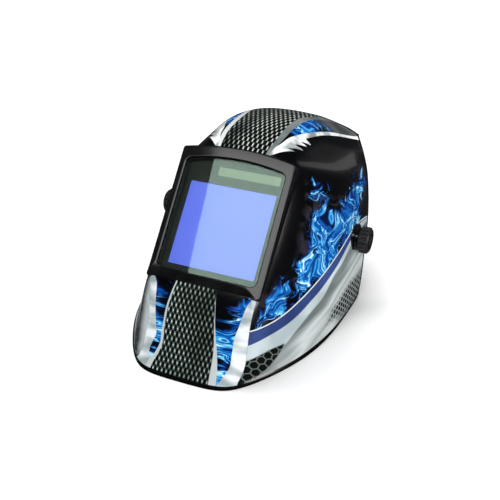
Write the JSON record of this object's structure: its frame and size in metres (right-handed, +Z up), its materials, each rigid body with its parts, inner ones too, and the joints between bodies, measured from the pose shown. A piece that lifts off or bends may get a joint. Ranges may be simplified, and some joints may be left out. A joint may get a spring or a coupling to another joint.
{
  "type": "welding helmet",
  "caption": "Auto-darkening welding helmet: flared shell with a raised lens frame, filter cartridge, and ratchet headgear that the shell tilts on.",
  "frame": {"origin": "middle of the whole object's footprint, on the plane that the shell's rim stands on", "axes": "+Z up, the face looks to -Y, +X is to the wearer's left"},
  "size_m": [0.2616, 0.3316, 0.2076],
  "materials": {
    "shell_plastic": "gloss black nylon with a printed film: blue flames, silver blades and perforated-mesh bands",
    "clear_lens": "clear polycarbonate",
    "foam_rubber": "black closed-cell foam",
    "case_plastic": "fine-grained black",
    "filter_glass": "violet-blue interference coating",
    "lcd_glass": "dark green-black laminate",
    "solar_cell": "pale green amorphous cell with fine conductor lines",
    "sensor_window": "dark red-black lens",
    "board": "green solder mask",
    "control_plastic": "satin dark grey",
    "button_plastic": "satin mid grey",
    "frame_plastic": "moulded black nylon, fine grain",
    "steel": "zinc plated",
    "band_plastic": "flexible black polyethylene",
    "sweat_fabric": "padded black terry cloth",
    "knob_rubber": "black, soft-touch, ribbed"
  },
  "bodies": {
    "headgear": {"headband": "band_plastic", "band_guide_left": "frame_plastic", "band_guide_right": "frame_plastic", "side_arm_left": "frame_plastic", "side_arm_right": "frame_plastic", "rivets": "steel", "crown_strap_left": "band_plastic", "crown_strap_right": "band_plastic", "crown_pins": "band_plastic", "sweatband": "sweat_fabric"},
    "carrier_left": {"pivot_slider_left": "frame_plastic", "tilt_stop_plate_left": "frame_plastic", "pivot_bolt_left": "steel", "spring_washer_left": "steel", "knob_washer_left": "frame_plastic"},
    "carrier_right": {"pivot_slider_right": "frame_plastic", "tilt_stop_plate_right": "frame_plastic", "pivot_bolt_right": "steel", "spring_washer_right": "steel", "knob_washer_right": "frame_plastic"},
    "shell": {"shell": "shell_plastic", "cover_lens": "clear_lens", "lens_gasket": "foam_rubber", "cartridge_case": "case_plastic", "cartridge_back": "case_plastic", "filter_glass": "filter_glass", "lcd_stack": "lcd_glass", "solar_panel": "solar_cell", "arc_sensors": "sensor_window", "circuit_board": "board", "inner_cover_lens": "clear_lens", "cartridge_holder": "frame_plastic", "holder_screws": "steel", "pivot_bush_left": "frame_plastic", "pivot_bush_right": "frame_plastic", "tilt_stop_pin_left": "steel", "tilt_stop_pin_right": "steel"},
    "tension_knob_left": {"tension_knob_left": "knob_rubber"},
    "tension_knob_right": {"tension_knob_right": "knob_rubber"},
    "shade_knob": {"shade_knob": "control_plastic"},
    "sensitivity_knob": {"sensitivity_knob": "control_plastic"},
    "delay_knob": {"delay_knob": "control_plastic"},
    "test_button": {"test_button": "button_plastic"},
    "grind_button": {"grind_button": "button_plastic"},
    "battery_left": {"battery_tray_left": "control_plastic", "coin_cell_left": "steel"},
    "battery_right": {"battery_tray_right": "control_plastic", "coin_cell_right": "steel"},
    "clip_left": {"holder_clip_left": "frame_plastic"},
    "clip_right": {"holder_clip_right": "frame_plastic"},
    "nape": {"nape_band": "band_plastic", "nape_pad": "sweat_fabric", "ratchet_housing": "frame_plastic", "ratchet_cover": "frame_plastic"},
    "ratchet_knob": {"ratchet_knob": "knob_rubber", "ratchet_pinion": "frame_plastic"},
    "rack_left": {"ratchet_rack_left": "band_plastic"},
    "rack_right": {"ratchet_rack_right": "band_plastic"}
  },
  "joints": [
    {"name": "fore_aft_left", "type": "slide", "parent": "headgear", "child": "carrier_left", "axis": [0, -0.7501, 0.6613], "range_m": [0, 0.012]},
    {"name": "fore_aft_right", "type": "slide", "parent": "headgear", "child": "carrier_right", "axis": [0, -0.7501, 0.6613], "range_m": [0, 0.012]},
    {"name": "shell_tilt", "type": "hinge", "parent": "carrier_left", "child": "shell", "pos_m": [0, 0.05802, 0.07865], "axis": [-1, 0, 0], "range_deg": [0, 65]},
    {"name": "tension_left_turn", "type": "hinge", "parent": "carrier_left", "child": "tension_knob_left", "pos_m": [0.125, 0.05802, 0.07865], "axis": [1, 0, 0], "range_deg": [-180, 180]},
    {"name": "tension_right_turn", "type": "hinge", "parent": "carrier_right", "child": "tension_knob_right", "pos_m": [-0.125, 0.05802, 0.07865], "axis": [1, 0, 0], "range_deg": [-180, 180]},
    {"name": "shade_turn", "type": "hinge", "parent": "shell", "child": "shade_knob", "pos_m": [-0.022, -0.00359, 0.15696], "axis": [0, 0.7501, -0.6613], "range_deg": [-135, 135]},
    {"name": "sensitivity_turn", "type": "hinge", "parent": "shell", "child": "sensitivity_knob", "pos_m": [0, -0.00359, 0.15696], "axis": [0, 0.7501, -0.6613], "range_deg": [-135, 135]},
    {"name": "delay_turn", "type": "hinge", "parent": "shell", "child": "delay_knob", "pos_m": [0.022, -0.00359, 0.15696], "axis": [0, 0.7501, -0.6613], "range_deg": [-135, 135]},
    {"name": "test_press", "type": "slide", "parent": "shell", "child": "test_button", "axis": [0, -0.7501, 0.6613], "range_m": [0, 0.001], "stiffness_N_per_m": 400, "springref_m": -0.0005},
    {"name": "grind_press", "type": "slide", "parent": "shell", "child": "grind_button", "axis": [0, -0.7501, 0.6613], "range_m": [0, 0.001], "stiffness_N_per_m": 400, "springref_m": -0.0005},
    {"name": "battery_left_slide", "type": "slide", "parent": "shell", "child": "battery_left", "axis": [0, 0.6613, 0.7501], "range_m": [0, 0.014]},
    {"name": "battery_right_slide", "type": "slide", "parent": "shell", "child": "battery_right", "axis": [0, 0.6613, 0.7501], "range_m": [0, 0.014]},
    {"name": "clip_left_turn", "type": "hinge", "parent": "shell", "child": "clip_left", "pos_m": [0.0624, -0.03873, 0.11861], "axis": [0, 0.7501, -0.6613], "range_deg": [0, 90]},
    {"name": "clip_right_turn", "type": "hinge", "parent": "shell", "child": "clip_right", "pos_m": [-0.0624, -0.03873, 0.11861], "axis": [0, -0.7501, 0.6613], "range_deg": [0, 90]},
    {"name": "nape_slide", "type": "slide", "parent": "headgear", "child": "nape", "axis": [0, 0.7501, -0.6613], "range_m": [-0.0056, 0.0056]},
    {"name": "ratchet_turn", "type": "hinge", "parent": "nape", "child": "ratchet_knob", "pos_m": [0, 0.14247, 0.0202], "axis": [0, 0.7501, -0.6613], "range_deg": [-58, 58]},
    {"name": "rack_left_slide", "type": "slide", "parent": "nape", "child": "rack_left", "axis": [1, 0, 0], "range_m": [-0.0058, 0.0058]},
    {"name": "rack_right_slide", "type": "slide", "parent": "nape", "child": "rack_right", "axis": [1, 0, 0], "range_m": [-0.0058, 0.0058]}
  ],
  "couplings": [
    {"joint": "fore_aft_right", "follows": "fore_aft_left", "ratio": 1},
    {"joint": "ratchet_turn", "follows": "nape_slide", "rad_per_m": -178.57},
    {"joint": "rack_left_slide", "follows": "nape_slide", "ratio": -1},
    {"joint": "rack_right_slide", "follows": "nape_slide", "ratio": 1}
  ]
}
